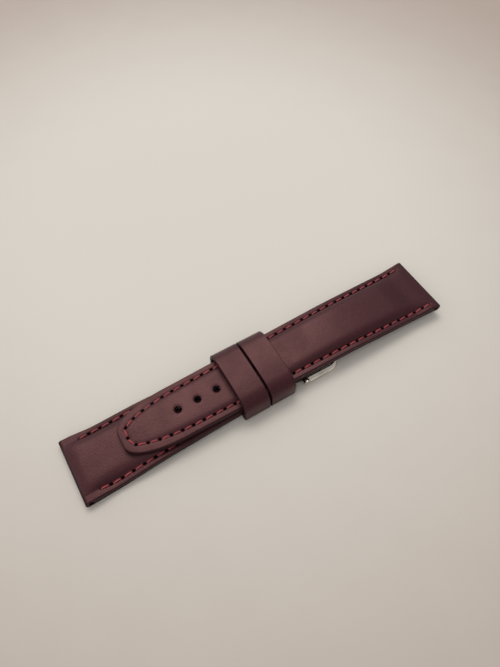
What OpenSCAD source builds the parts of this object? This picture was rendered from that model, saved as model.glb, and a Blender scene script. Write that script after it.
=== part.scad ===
// A two-piece padded leather watch strap, laid flat and closed through its keepers.
// X runs along the strap, from the buckle piece's lug end to the hole piece's lug end.
// Z = 0 is the surface that it lies on, and Y = 0 is the middle of its width.

/* [Strap] */
// Width of both lug ends
lug_w = 22; // [20:0.5:24]
// Width of the short piece at the buckle, and of the long piece before its tip
tail_w = 18; // [16:0.5:19]
// Short piece, from its lug end to the buckle's pivot
short_len = 77; // [70:1:84]
// Long piece, from its lug end to its tip
long_len = 117.5; // [110:0.5:126]
// Closed strap, from lug end to lug end
closed_len = 134; // [128:1:142]
// Length over which the long piece narrows to its tip
tip_len = 20; // [16:1:24]
// Flat part of the tip, across the strap
tip_flat = 4; // [2:0.5:6]
// Extra width on each side of the long piece's lug end
lug_flare = 0.25; // [0:0.05:0.5]
// Height of the long piece's lug end above the table
end_lift = 2; // [0:0.1:2.5]

/* [Leather] */
// Leather of the upper over the padding
upper_t = 0.85; // [0.7:0.05:1]
// Leather of the lining
lining_t = 0.8; // [0.6:0.05:0.9]
// Tape that keeps the strap from stretching
tape_t = 0.2; // [0.1:0.05:0.25]
// Whole thickness outside the stitching
flange_t = 2.2; // [2.1:0.05:2.6]
// Height of the padding's crown in the keepers, above the edges
thin_crown = 0.5; // [0.5:0.05:0.8]
// Height of the long piece's crown at its thickest, above the edges
long_crown = 1.8; // [1.2:0.1:2.6]
// Glue between the layers
glue_line = 0.05; // [0.03:0.01:0.06]
// Rounding of the upper's long edges
edge_round = 0.35; // [0.1:0.05:0.5]

/* [Lug ends] */
// Thickness of a lug end
lug_end_t = 3; // [2.8:0.1:3.4]
// Tunnel for the watch's own spring bar
lug_bore_d = 1.8; // [1.5:0.1:2]
// From the end face to the middle of the tunnel
lug_bore_back = 1.75; // [1.6:0.05:2]
// From the end face to where the folded upper stops
lug_fold = 3.6; // [3.2:0.1:4]
// Rounding of the end face's two edges
lug_round = 1.1; // [0.6:0.1:1.3]

/* [Stitching] */
// From one stitch to the next
stitch_pitch = 3.6; // [3:0.1:4.5]
// Length of thread that shows in one stitch
stitch_len = 2.6; // [2:0.1:2.8]
// Thread
thread_d = 0.42; // [0.3:0.02:0.42]
// From the strap's edge to the stitches
stitch_margin = 1.8; // [1.6:0.1:2.4]
// From the tip's edge to its stitches
tip_margin = 2.3; // [2:0.1:2.8]
// From a lug end to the first stitch
stitch_start = 4.4; // [4:0.1:8]

/* [Holes] */
// Adjustment holes
hole_count = 6; // [3:1:7]
// Hole
hole_d = 2.3; // [1.8:0.1:2.8]
// From one hole to the next
hole_pitch = 6.8; // [5:0.1:7.2]
// From the tip to the first hole
hole_start = 19.2; // [15:0.1:22]

/* [Keepers] */
// Length of a keeper along the strap
keeper_w = 9; // [6:0.5:10]
// Outer leather of a keeper
keeper_outer_t = 0.8; // [0.6:0.05:1]
// Lining leather of a keeper
keeper_lining_t = 0.45; // [0.3:0.05:0.6]
// From the buckle's pivot to the fixed keeper
keeper_back = 5.5; // [4.5:0.1:7]
// Between the two keepers
keeper_gap = 0.7; // [0.3:0.1:3]
// Room at each side inside a keeper
keeper_side_gap = 0.45; // [0.3:0.05:0.8]
// Room over the long piece's edges inside a keeper
keeper_edge_gap = 0.3; // [0.3:0.05:0.6]
// Outer radius of a keeper's nearly flat top
keeper_arch_r = 86; // [60:1:100]
// Outer radius of a keeper's upper corners
keeper_corner = 5; // [4:0.1:5.4]
// Outer radius of a keeper's lower corners
keeper_base_corner = 1.6; // [1.5:0.1:2]
// Running gap between pieces that slide on each other
slide_gap = 0.1; // [0.1:0.02:0.2]

/* [Buckle] */
// From the pivot to the far face of the frame
frame_len = 14.3; // [12:0.1:16]
// Thickness of the frame
frame_t = 1.9; // [1.6:0.1:2.2]
// Width of an arm
arm_w = 1.95; // [1.7:0.05:2.4]
// Width of the far bar
far_bar_w = 2.2; // [1.8:0.1:2.8]
// Outer radius of the frame's corners
frame_corner = 4.4; // [2.4:0.1:4.6]
// Inner radius of the frame's corners
frame_inner_corner = 2.4; // [1.2:0.1:2.6]
// Radius of an arm's end round the pivot
arm_end_r = 1.2; // [1.1:0.05:1.4]
// Room between the short piece and each arm
arm_gap = 0.2; // [0.1:0.05:0.3]
// Width of the tongue
tongue_w = 2; // [1.6:0.1:2.1]
// Thickness of the tongue
tongue_t = 0.75; // [0.6:0.05:0.9]
// Wall of the tongue's eye
eye_t = 0.65; // [0.5:0.05:0.7]

/* [Spring bar] */
// Tube of the buckle's spring bar
bar_d = 1.5; // [1.4:0.05:1.6]
// Pins at its ends
pin_d = 0.8; // [0.7:0.05:0.9]
// Length of pin in an arm
pin_reach = 1.2; // [1:0.05:1.4]
// Bottom of the hole in an arm, past the pin's end
pin_end_gap = 0.3; // [0.2:0.05:0.4]
// Radial room between parts that turn or slide in a hole
run_gap = 0.05; // [0.03:0.01:0.08]
// Radial room between the tube and the leather, and the tube and the tongue
bar_gap = 0.1; // [0.06:0.01:0.1]
// Turns of the spring
spring_turns = 14; // [8:1:16]
// Wire of the spring
wire_d = 0.16; // [0.12:0.02:0.2]

/* [Hidden] */

leather_color = [0.40, 0.25, 0.26];
lining_color = [0.33, 0.20, 0.20];
padding_color = [0.82, 0.80, 0.76];
tape_color = [0.90, 0.90, 0.88];
thread_color = [0.72, 0.22, 0.27];
steel_color = [0.80, 0.81, 0.83];
spring_color = [0.62, 0.63, 0.66];

// Overshoot of a cut, the width of a sharp step between stations, and facets of round parts
cut = 0.5;
step = 0.05;
round_fn = 48;

left_x = -closed_len / 2;
right_x = closed_len / 2;
tip_x = right_x - long_len;
tip_end_x = tip_x + tip_len;
pivot_x = left_x + short_len;

// Heights of the stack in the keepers, from the table up
keeper_t = keeper_outer_t + glue_line + keeper_lining_t;
short_raise = keeper_t + slide_gap;
short_top = short_raise + flange_t + thin_crown;
tail_z = short_top + slide_gap;

// Places of the keepers along the strap
fixed_x1 = pivot_x - keeper_back;
fixed_x0 = fixed_x1 - keeper_w;
free_x1 = fixed_x0 - keeper_gap;
free_x0 = free_x1 - keeper_w;

// The short piece lies on the table at its lug end and climbs to the keepers' base
climb_start = 8;
climb_end = 28;
climb_x0 = left_x + climb_start;
climb_x1 = left_x + climb_end;
free_travel = 20;

// The spring bar, and the leather rolled round it
bar_r = bar_d / 2;
tunnel_r = bar_r + bar_gap;
roll_r = tunnel_r + upper_t;
floor_gap = 0.1;
notch_side_gap = 0.3;
notch_depth_gap = 0.5;
tongue_eye_r = tunnel_r + eye_t;
pivot_z = roll_r + floor_gap;
frame_half = tail_w / 2 + arm_gap;
frame_floor_gap = 0.02;
frame_tilt = asin((pivot_z - frame_t / 2 - frame_floor_gap) / frame_len);

// The long piece lies level over the buckle, then droops towards its lug end
droop_bend = 12;
droop_x0 = pivot_x + frame_len;
droop_slope = (tail_z - end_lift) / (right_x - droop_x0 - droop_bend / 2);

// The crown starts inside the stitches, and the padding a little further in
crown_inset = max(stitch_margin, tip_margin) + 0.3;
pad_wall = 0.25;
edge_band = 0.4;
layer_end_gap = 0.3;
lining_gap = 0.1;
// Lengths from a lug end: its level part, its thinning edges, and where the crown starts
lug_flat = 3;
lug_ramp = 11;
crown_start = 0.5;
// Lengths over which the crown rises: at the short piece's lug end, at the tip, at the long
// piece's lug end, and from the keepers towards it
short_ramp = 2.5;
tip_ramp = 13;
crown_fall = 18;
crown_climb = 32;
// A higher power makes the crown flatter on top and steeper at its sides
dome_power = 6;
thread_lift = 0.08;
row_end_gap = 1;

function clamp01(v) = max(0, min(1, v));
function ease(v) = let (u = clamp01(v)) u * u * (3 - 2 * u);
function mix(a, b, k) = a + (b - a) * k;
function dome(t) = 1 - pow(min(1, abs(t)), dome_power);

// Half width of each piece at x
function short_half(x) = mix(lug_w, tail_w, (x - left_x) / short_len) / 2;
function straight_half(x) =
    mix(lug_w, tail_w, clamp01((right_x - x) / (long_len - tip_len))) / 2
    - lug_flare * ease((right_x - x) / 6) + lug_flare;
function tip_share(x, full) =
    pow(max(0, 1 - pow(1 - clamp01((x - tip_x) / tip_len), full)), 1 / full);
function long_half(x) = mix(tip_flat / 2, straight_half(x), tip_share(x, 2.2));
function crown_half(half) = max(half - crown_inset, 0.68 * half);
function pad_half(half) = crown_half(half) - min(pad_wall, 0.08 * half);

// Thickness at the edges, s from a lug end
function edge_t(s) = mix(lug_end_t, flange_t, ease((s - lug_flat) / (lug_ramp - lug_flat)));
// How far a rounded end face draws in at s
function nose(s) = s >= lug_round ? 0 : lug_round - sqrt(pow(lug_round, 2) - pow(lug_round - s, 2));

// Underside of the short piece, without its rounded end
function short_lie(x) = x <= fixed_x1
    ? short_raise * ease((x - climb_x0) / (climb_x1 - climb_x0))
    : mix(short_raise, pivot_z - roll_r, ease((x - fixed_x1) / (pivot_x - fixed_x1)));
function roll_h(x) = sqrt(max(0, pow(roll_r, 2) - pow(max(0, x - pivot_x), 2)));
function short_under(x) = x > pivot_x ? pivot_z - roll_h(x) : short_lie(x) + nose(x - left_x);
function short_edge_top(x) = x > pivot_x
    ? pivot_z + roll_h(x)
    : x > fixed_x1
    ? mix(short_raise + flange_t, pivot_z + roll_r, ease((x - fixed_x1) / (pivot_x - fixed_x1)))
    : short_lie(x) + edge_t(x - left_x) - nose(x - left_x);
function short_rise(x) = x > fixed_x1
    ? thin_crown * (1 - ease((x - fixed_x1) / 3))
    : (short_top - short_lie(x) - edge_t(x - left_x)) * ease((x - left_x - crown_start) / short_ramp);
function short_surface(x, y) =
    short_edge_top(x) + short_rise(x) * dome(y / crown_half(short_half(x)));

// Underside of the long piece, without its rounded end
function long_lie(x) = let (u = x - droop_x0)
    u <= 0 ? tail_z
    : u < droop_bend ? tail_z - droop_slope * u * u / (2 * droop_bend)
    : tail_z - droop_slope * (u - droop_bend / 2);
function long_under(x) = long_lie(x) + nose(right_x - x);
function long_edge_top(x) = long_lie(x) + edge_t(right_x - x) - nose(right_x - x);
function long_rise(x) = let (
    s = right_x - x,
    thin = thin_crown * ease((x - tip_x - tip_margin) / tip_ramp),
    swell = ease((x - free_x1) / crown_climb))
    (thin + (long_crown - thin_crown) * swell) * ease((s - crown_start) / crown_fall);
function long_surface(x, y) =
    long_edge_top(x) + long_rise(x) * dome(y / crown_half(long_half(x)));

// Points across the strap for an upper, whose edges are rounded, and for its padding
function upper_rows(half) = let (
    pad = pad_half(half),
    side = [half, half - edge_band, crown_half(half), pad, 0.85 * pad, 0.6 * pad, 0.3 * pad])
    concat([for (y = side) -y], [0], [for (i = [6:-1:0]) side[i]]);
function padding_rows(half) = let (
    pad = pad_half(half) - glue_line,
    side = [pad, 0.85 * pad, 0.6 * pad, 0.3 * pad])
    concat([for (y = side) -y], [0], [for (i = [3:-1:0]) side[i]]);
function plain_rows(half) = [-half, half];

function rounded_edge(y, half) = abs(y) > half - edge_band / 2 ? edge_round : 0;

// Stations of the run that the padding and the tape follow
function inner_stations(run, x0, x1) = concat(
    [x0 + layer_end_gap],
    [for (x = run) if (x > x0 + 2 * layer_end_gap && x < x1 - 2 * layer_end_gap) x],
    [x1 - layer_end_gap]);

// Stations along the short piece
fold_x = left_x + lug_fold;
short_end = concat(
    [for (i = [0:4]) left_x + lug_round * (1 - cos(i * 22.5))],
    [left_x + 2.3, fold_x]);
short_run = concat(
    [fold_x + step],
    [for (i = [1:5]) mix(fold_x, left_x + lug_ramp, i / 5)],
    [for (i = [1:6]) mix(left_x + lug_ramp, climb_x1, i / 6)],
    [for (i = [1:3]) mix(climb_x1, fixed_x1, i / 3)]);
short_roll = concat(
    [for (i = [0:4]) mix(fixed_x1 + step, pivot_x, i / 4)],
    [for (i = [1:6]) pivot_x + roll_r * sin(i * 13.5)]);

// Stations along the long piece
tip_stations = [for (i = [0:10]) tip_x + tip_len * (1 - cos(i * 9))];
long_tip = [for (i = [0:6]) tip_stations[i]];
long_pad_x = long_tip[6];
long_fold_x = right_x - lug_fold;
long_run = concat(
    [long_pad_x + step],
    [for (i = [7:10]) tip_stations[i]],
    [for (i = [1:4]) mix(tip_end_x, fixed_x1, i / 4)],
    [for (i = [1:9]) mix(fixed_x1, right_x - lug_ramp, i / 9)],
    [for (i = [1:4]) mix(right_x - lug_ramp, long_fold_x - step, i / 4)]);
long_end = concat(
    [long_fold_x, right_x - 2.3],
    [for (i = [4:-1:0]) right_x - lug_round * (1 - cos(i * 22.5))]);

// A closed sheet over stations along X: rows(x) gives the Y values at a station, and
// top(x, y) and under(x, y) its two surfaces. Faces run clockwise as seen from outside.
module sheet(stations, rows, top, under) {
    n = len(stations);
    m = len(rows(stations[0]));
    upper = [for (x = stations) for (y = rows(x)) [x, y, top(x, y)]];
    lower = [for (x = stations) for (y = rows(x)) [x, y, under(x, y)]];
    low = n * m;
    top_faces = [for (i = [0:n - 2]) for (j = [0:m - 2])
        let (a = i * m + j, b = a + m) each [[a, a + 1, b + 1], [a, b + 1, b]]];
    under_faces = [for (f = top_faces) [f[2] + low, f[1] + low, f[0] + low]];
    near = [for (i = [0:n - 2]) let (a = i * m, b = a + m) [a, b, b + low, a + low]];
    far = [for (i = [0:n - 2]) let (a = i * m + m - 1, b = a + m) [a, a + low, b + low, b]];
    start = [for (j = [0:m - 2]) [j, j + low, j + 1 + low, j + 1]];
    stop = [for (j = [0:m - 2]) let (a = (n - 1) * m + j) [a, a + 1, a + 1 + low, a + low]];
    polyhedron(concat(upper, lower), concat(top_faces, under_faces, near, far, start, stop));
}

// Leather under the upper's edges, or the hollow for the padding inside them
function upper_inside(y, half, lie, surface) = abs(y) < pad_half(half) + step / 2
    ? surface - upper_t
    : lie + lining_t + glue_line;

// A flat layer that keeps its height over the strap's underside
module layer(stations, half, lie, base, thick) {
    sheet(stations, function (x) plain_rows(half(x)),
        function (x, y) lie(x) + base + thick, function (x, y) lie(x) + base);
}

module holes() {
    for (i = [0:hole_count - 1])
        translate([tip_x + hole_start + i * hole_pitch, 0, tail_z - cut])
            cylinder(d = hole_d, h = flange_t + long_crown + 2 * cut, $fn = round_fn);
}

module lug_tunnel(x, z) {
    translate([x, 0, z]) rotate([90, 0, 0])
        cylinder(d = lug_bore_d, h = lug_w + 2 * cut, center = true, $fn = round_fn);
}

module short_upper() {
    color(leather_color) difference() {
        sheet(concat(short_end, short_run, short_roll),
            function (x) upper_rows(short_half(x)),
            function (x, y) short_surface(x, y) - rounded_edge(y, short_half(x)),
            function (x, y) x < fold_x + step / 2 || x > fixed_x1 + step / 2
                ? short_under(x)
                : upper_inside(y, short_half(x), short_lie(x), short_surface(x, y)));
        lug_tunnel(left_x + lug_bore_back, lug_end_t / 2);
        translate([pivot_x, 0, pivot_z]) rotate([90, 0, 0])
            cylinder(r = tunnel_r, h = tail_w + 2 * cut, center = true, $fn = round_fn);
        // Notch for the tongue's eye
        translate([pivot_x - tongue_eye_r - notch_depth_gap, -tongue_w / 2 - notch_side_gap, -cut])
            cube([tongue_eye_r + notch_depth_gap + roll_r + cut, tongue_w + 2 * notch_side_gap,
                short_top + 2 * cut]);
    }
}

module short_padding() {
    stations = inner_stations(short_run, fold_x, fixed_x1);
    color(padding_color)
        sheet(stations, function (x) padding_rows(short_half(x)),
            function (x, y) short_surface(x, y) - upper_t - glue_line,
            function (x, y) short_lie(x) + lining_t + tape_t + 2 * glue_line);
}

module short_stiffener() {
    stations = inner_stations(short_run, fold_x, fixed_x1);
    color(tape_color)
        layer(stations, function (x) pad_half(short_half(x)) - glue_line,
            function (x) short_lie(x), lining_t + glue_line, tape_t);
}

module short_lining() {
    stations = concat([fold_x + lining_gap], [for (x = short_run) if (x > fold_x + cut) x]);
    color(lining_color)
        layer(stations, function (x) short_half(x), function (x) short_lie(x), 0, lining_t);
}

module long_upper() {
    color(leather_color) difference() {
        sheet(concat(long_tip, long_run, long_end),
            function (x) upper_rows(long_half(x)),
            function (x, y) long_surface(x, y) - rounded_edge(y, long_half(x)),
            function (x, y) x > long_fold_x - step / 2
                ? long_under(x)
                : x < long_pad_x + step / 2
                ? long_lie(x) + lining_t + glue_line
                : upper_inside(y, long_half(x), long_lie(x), long_surface(x, y)));
        lug_tunnel(right_x - lug_bore_back, long_lie(right_x - lug_bore_back) + lug_end_t / 2);
        holes();
    }
}

module long_padding() {
    stations = inner_stations(long_run, long_pad_x, long_fold_x);
    color(padding_color) difference() {
        sheet(stations, function (x) padding_rows(long_half(x)),
            function (x, y) long_surface(x, y) - upper_t - glue_line,
            function (x, y) long_lie(x) + lining_t + tape_t + 2 * glue_line);
        holes();
    }
}

module long_stiffener() {
    stations = inner_stations(long_run, long_pad_x, long_fold_x);
    color(tape_color) difference() {
        layer(stations, function (x) pad_half(long_half(x)) - glue_line,
            function (x) long_lie(x), lining_t + glue_line, tape_t);
        holes();
    }
}

module long_lining() {
    stations = concat(long_tip, [for (x = long_run) if (x < long_fold_x - cut) x],
        [long_fold_x - lining_gap]);
    color(lining_color) difference() {
        layer(stations, function (x) long_half(x), function (x) long_lie(x), 0, lining_t);
        holes();
    }
}

// One stitch, a round-ended length of thread from p to q
module stitch(p, q) {
    d = q - p;
    translate(p) rotate([0, acos(d[2] / norm(d)), atan2(d[1], d[0])]) {
        cylinder(d = thread_d, h = norm(d), $fn = 16);
        sphere(d = thread_d, $fn = 16);
        translate([0, 0, norm(d)]) sphere(d = thread_d, $fn = 16);
    }
}

// The point at a distance along a route of points
function along(route, dist, i = 0) = let (reach = norm(route[i + 1] - route[i]))
    dist <= reach || i + 2 >= len(route)
    ? mix(route[i], route[i + 1], dist / reach)
    : along(route, dist - reach, i + 1);
function route_len(route) =
    let (legs = [for (i = [0:len(route) - 2]) norm(route[i + 1] - route[i])])
    legs * [for (leg = legs) 1];

// Stitches along a flat route, laid on the edge surface that edge_top(x) gives
module stitches(route, edge_top) {
    count = floor((route_len(route) - stitch_len) / stitch_pitch);
    lift = thread_d / 2 + thread_lift;
    for (i = [0:count]) {
        p = along(route, i * stitch_pitch);
        q = along(route, i * stitch_pitch + stitch_len);
        sag = max(0, edge_top((p[0] + q[0]) / 2) - (edge_top(p[0]) + edge_top(q[0])) / 2);
        stitch([p[0], p[1], edge_top(p[0]) + lift + sag], [q[0], q[1], edge_top(q[0]) + lift + sag]);
    }
}

module short_stitching(side) {
    route = [for (x = [left_x + stitch_start, fixed_x1 - row_end_gap])
        [x, side * (short_half(x) - stitch_margin)]];
    color(thread_color) stitches(route, function (x) short_edge_top(x));
}

// From the long piece's edge to its stitches, and the row's distance from the middle
function long_margin(x) =
    mix(stitch_margin, tip_margin, clamp01((right_x - x) / (long_len - tip_len)));
function long_row(x) =
    mix(tip_flat / 2, straight_half(x) - long_margin(x), tip_share(x - tip_margin, 1.8));

module long_stitching() {
    bend = [for (a = [0:10:90]) tip_x + tip_margin + tip_len * (1 - cos(a))];
    near = [for (x = concat(bend, [right_x - stitch_start])) [x, -long_row(x)]];
    far = [for (i = [len(near) - 1:-1:0]) [near[i][0], -near[i][1]]];
    color(thread_color) stitches(concat(far, near), function (x) long_edge_top(x));
}

// Outline of a keeper's loop in the YZ plane, drawn in by inset: rounded corners and upright sides
// under a wide arch, all tangent
function arc(y, z, r, a0, a1, n) =
    [for (i = [0:n]) let (a = mix(a0, a1, i / n)) [y + r * cos(a), z + r * sin(a)]];
keeper_half = max(long_half(fixed_x1), short_half(free_x0 - free_travel))
    + keeper_side_gap + keeper_t;
// The middle of an upper corner, as high as the room over the long piece's edge needs
corner_y = keeper_half - keeper_corner;
corner_z = tail_z + flange_t
    - sqrt(pow(keeper_corner - keeper_t - keeper_edge_gap, 2) - pow(long_half(fixed_x1) - corner_y, 2));
function keeper_outline(inset) = let (
    base_r = keeper_base_corner - inset,
    top_r = keeper_corner - inset,
    arch_r = keeper_arch_r - inset,
    base_y = keeper_half - keeper_base_corner,
    meet = asin(corner_y / (keeper_arch_r - keeper_corner)),
    turn = meet / 4,
    arch_z = corner_z - (keeper_arch_r - keeper_corner) * cos(meet))
    concat(
        arc(base_y, keeper_base_corner, base_r, -90, 0, 5),
        arc(corner_y, corner_z, top_r, 0, 90 - meet, 8),
        arc(0, arch_z, arch_r, 90 - meet + turn, 90 + meet - turn, 6),
        arc(-corner_y, corner_z, top_r, 90 + meet, 180, 8),
        arc(-base_y, keeper_base_corner, base_r, 180, 270, 5));

module keeper_layer(x, outer, inner) {
    translate([x, 0, 0]) rotate([90, 0, 90]) linear_extrude(keeper_w) difference() {
        polygon(keeper_outline(outer));
        polygon(keeper_outline(inner));
    }
}

module keeper_outer(x) {
    color(leather_color) keeper_layer(x, 0, keeper_outer_t);
}

module keeper_lining(x) {
    color(lining_color) keeper_layer(x, keeper_outer_t + glue_line, keeper_t);
}

// The frame's plan, open towards the strap, with the pivot at the origin
module frame_plan() {
    half = frame_half + arm_w;
    difference() {
        union() {
            translate([0, -half]) square([frame_len - frame_corner, 2 * half]);
            translate([0, frame_corner - half])
                square([frame_len, 2 * (half - frame_corner)]);
            for (side = [-1, 1])
                translate([frame_len - frame_corner, side * (half - frame_corner)])
                    circle(r = frame_corner, $fn = round_fn);
        }
        window = frame_len - far_bar_w;
        translate([-cut, -frame_half])
            square([window - frame_inner_corner + cut, 2 * frame_half]);
        translate([-cut, frame_inner_corner - frame_half])
            square([window + cut, 2 * (frame_half - frame_inner_corner)]);
        for (side = [-1, 1])
            translate([window - frame_inner_corner, side * (frame_half - frame_inner_corner)])
                circle(r = frame_inner_corner, $fn = round_fn);
    }
}

module at_pivot() {
    translate([pivot_x, 0, pivot_z]) rotate([0, frame_tilt, 0]) children();
}

// A round solid on the pivot's axis, from Y = y0 to Y = y1
module on_axis(r, y0, y1) {
    translate([0, y1, 0]) rotate([90, 0, 0]) cylinder(r = r, h = y1 - y0, $fn = round_fn);
}

module buckle_frame() {
    color(steel_color) at_pivot() difference() {
        union() {
            translate([0, 0, -frame_t / 2]) linear_extrude(frame_t) frame_plan();
            for (side = [0, 1]) mirror([0, side, 0])
                on_axis(arm_end_r, frame_half, frame_half + arm_w);
        }
        for (side = [0, 1]) mirror([0, side, 0])
            on_axis(pin_d / 2 + run_gap, frame_half - cut, frame_half + pin_reach + pin_end_gap);
    }
}

// The tongue's eye turns on the spring bar, and its blade rests on the far bar
module buckle_tongue() {
    rest_z = frame_t / 2 + 0.03;
    blade_top = rest_z + tongue_t;
    blade_end = frame_len - 0.3;
    color(steel_color) at_pivot()
        translate([0, tongue_w / 2, 0]) rotate([90, 0, 0]) linear_extrude(tongue_w)
            difference() {
                union() {
                    circle(r = tongue_eye_r, $fn = round_fn);
                    polygon([
                        [0, 0], [1.2, 0], [3, rest_z], [blade_end, rest_z],
                        [blade_end, rest_z + 0.6 * tongue_t], [blade_end - 0.9, blade_top],
                        [3, blade_top], [0, tongue_eye_r]]);
                }
                circle(r = tunnel_r, $fn = round_fn);
            }
}

// Spring bar: a tube with turned-in ends, two pins with heads inside it, and a spring
collar_gap = 0.1;
collar_t = 0.25;
collar_r = pin_d / 2 + 0.24;
tube_end = frame_half - collar_gap - collar_t - pin_reach - 0.05;
tube_lip = 0.3;
tube_wall = 0.19;
head_r = bar_r - tube_wall - run_gap;
head_len = 1.3;
head_y1 = tube_end - tube_lip - 0.1;
head_y0 = head_y1 - head_len;

module bar_tube() {
    color(steel_color) translate([pivot_x, 0, pivot_z]) difference() {
        on_axis(bar_r, -tube_end, tube_end);
        on_axis(bar_r - tube_wall, tube_lip - tube_end, tube_end - tube_lip);
        on_axis(pin_d / 2 + run_gap, -tube_end - cut, tube_end + cut);
    }
}

module bar_pin() {
    color(steel_color) {
        on_axis(head_r, head_y0, head_y1);
        on_axis(pin_d / 2, head_y1 - step, frame_half + pin_reach);
        on_axis(collar_r, frame_half - collar_gap - collar_t, frame_half - collar_gap);
    }
}

module bar_pin_far() {
    translate([pivot_x, 0, pivot_z]) bar_pin();
}

module bar_pin_near() {
    translate([pivot_x, 0, pivot_z]) mirror([0, 1, 0]) bar_pin();
}

// The coil is one tube round a helix between the pins' heads
module bar_spring() {
    sides = 5;
    per_turn = 10;
    coil_r = head_r - wire_d / 2 - 0.02;
    reach = 2 * (head_y0 - 0.05) - wire_d;
    rings = spring_turns * per_turn;
    rise = reach / rings;
    points = [for (i = [0:rings]) for (k = [0:sides - 1])
        let (a = i * 360 / per_turn, b = k * 360 / sides, r = coil_r + wire_d / 2 * cos(b))
        [r * cos(a), i * rise - reach / 2 + wire_d / 2 * sin(b), r * sin(a)]];
    skin = [for (i = [0:rings - 1]) for (k = [0:sides - 1])
        let (a = i * sides + k, b = i * sides + (k + 1) % sides)
        each [[a, b, b + sides], [a, b + sides, a + sides]]];
    first = [for (k = [0:sides - 1]) sides - 1 - k];
    last = [for (k = [0:sides - 1]) rings * sides + k];
    color(spring_color) translate([pivot_x, 0, pivot_z])
        polyhedron(points, concat(skin, [first, last]));
}

short_upper();
short_padding();
short_stiffener();
short_lining();
short_stitching(-1);  // short_stitching_near
short_stitching(1);  // short_stitching_far
long_upper();
long_padding();
long_stiffener();
long_lining();
long_stitching();
keeper_outer(fixed_x0);  // fixed_keeper_outer
keeper_lining(fixed_x0);  // fixed_keeper_lining
keeper_outer(free_x0);  // free_keeper_outer
keeper_lining(free_x0);  // free_keeper_lining
buckle_frame();
buckle_tongue();
bar_tube();
bar_spring();
bar_pin_near();
bar_pin_far();
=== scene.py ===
import math

import bpy
import numpy as np
from mathutils import Matrix, Vector


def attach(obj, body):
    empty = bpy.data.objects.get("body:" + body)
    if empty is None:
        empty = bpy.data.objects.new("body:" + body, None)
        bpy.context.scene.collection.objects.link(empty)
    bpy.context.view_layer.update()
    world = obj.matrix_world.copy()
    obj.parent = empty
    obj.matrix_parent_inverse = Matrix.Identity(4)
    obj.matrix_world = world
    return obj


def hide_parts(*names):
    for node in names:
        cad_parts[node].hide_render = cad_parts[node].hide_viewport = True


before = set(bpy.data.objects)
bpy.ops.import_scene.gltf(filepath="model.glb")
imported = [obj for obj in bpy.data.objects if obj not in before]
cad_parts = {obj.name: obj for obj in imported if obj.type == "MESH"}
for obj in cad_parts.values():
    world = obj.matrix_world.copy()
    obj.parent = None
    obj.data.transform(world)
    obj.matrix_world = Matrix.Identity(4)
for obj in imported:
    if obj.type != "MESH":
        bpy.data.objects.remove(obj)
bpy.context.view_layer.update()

# Linings
#
# Two strips of thin matte leather, the side that lies on the wrist. Each is cut to the outline of
# its upper, glued under the padding and sewn through along both edges, and its edge is painted.

MM = 0.001
LEFT, RIGHT = -67.0, 67.0
SHORT_LEN, LONG_LEN = 77.0, 117.5
LUG_HALF, BUCKLE_HALF, TIP_HALF = 11.0, 9.0, 2.0
LUG_FLARE = 0.25
PIVOT_X, PIVOT_Z = LEFT + SHORT_LEN, 1.8
TIP, TIP_LEN = RIGHT - LONG_LEN, 20.0
FIXED_END = 4.5
FRAME_LEN = 14.3
LUG_FOLD = 3.6
ROLL_R = 1.7
SHORT_RISE, TAIL_Z = 1.4, 4.2
DROOP, DROOP_BEND = 2.2, 12.0
LINING_T = 0.8
STITCH_MARGIN, TIP_MARGIN = 1.8, 2.3


def ease(v):
    u = np.clip(v, 0, 1)
    return u * u * (3 - 2 * u)


def mix(a, b, k):
    return a + (b - a) * k


def short_half(x):
    return mix(LUG_HALF, BUCKLE_HALF, (x - LEFT) / SHORT_LEN)


def straight_half(x):
    s = RIGHT - x
    taper = mix(LUG_HALF, BUCKLE_HALF, np.clip(s / (LONG_LEN - TIP_LEN), 0, 1))
    return taper + LUG_FLARE * (1 - ease(s / 6))


def tip_share(x, full):
    """How much of the straight width the rounded tip has, as a superellipse."""
    t = 1 - np.clip((x - TIP) / TIP_LEN, 0, 1)
    return np.maximum(0, 1 - t ** full) ** (1 / full)


def long_half(x):
    return mix(TIP_HALF, straight_half(x), tip_share(x, 2.2))


def short_lie(x):
    """Height of the short piece's underside, which rises over the keepers' bases."""
    rise = SHORT_RISE * ease((x - LEFT - 8) / 20)
    dip = mix(SHORT_RISE, PIVOT_Z - ROLL_R, ease((x - FIXED_END) / (PIVOT_X - FIXED_END)))
    return np.where(x <= FIXED_END, rise, dip)


def long_lie(x):
    """Height of the long piece's underside, which bends down past the buckle's far bar."""
    past = x - PIVOT_X - FRAME_LEN
    slope = DROOP / (RIGHT - PIVOT_X - FRAME_LEN - DROOP_BEND / 2)
    bent = TAIL_Z - slope * past ** 2 / (2 * DROOP_BEND)
    straight = TAIL_Z - slope * (past - DROOP_BEND / 2)
    return np.where(past <= 0, TAIL_Z, np.where(past < DROOP_BEND, bent, straight))


def only(*things):
    bpy.ops.object.select_all(action="DESELECT")
    for thing in things:
        thing.select_set(True)
    bpy.context.view_layer.objects.active = things[0]


def points_of(piece):
    co = np.empty(len(piece.data.vertices) * 3)
    piece.data.vertices.foreach_get("co", co)
    return co.reshape(-1, 3)


def set_points(piece, co):
    piece.data.vertices.foreach_set("co", co.ravel())
    piece.data.update()


def draw_out(piece, moves):
    """Extrudes a whole piece, and then its new end, once for each move."""
    only(piece)
    bpy.ops.object.mode_set(mode="EDIT")
    bpy.ops.mesh.select_all(action="SELECT")
    for move in moves:
        bpy.ops.mesh.extrude_region_move(TRANSFORM_OT_translate={"value": move})
    bpy.ops.object.mode_set(mode="OBJECT")


def face_out(piece):
    only(piece)
    bpy.ops.object.mode_set(mode="EDIT")
    bpy.ops.mesh.select_all(action="SELECT")
    bpy.ops.mesh.normals_make_consistent(inside=False)
    bpy.ops.object.mode_set(mode="OBJECT")


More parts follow.
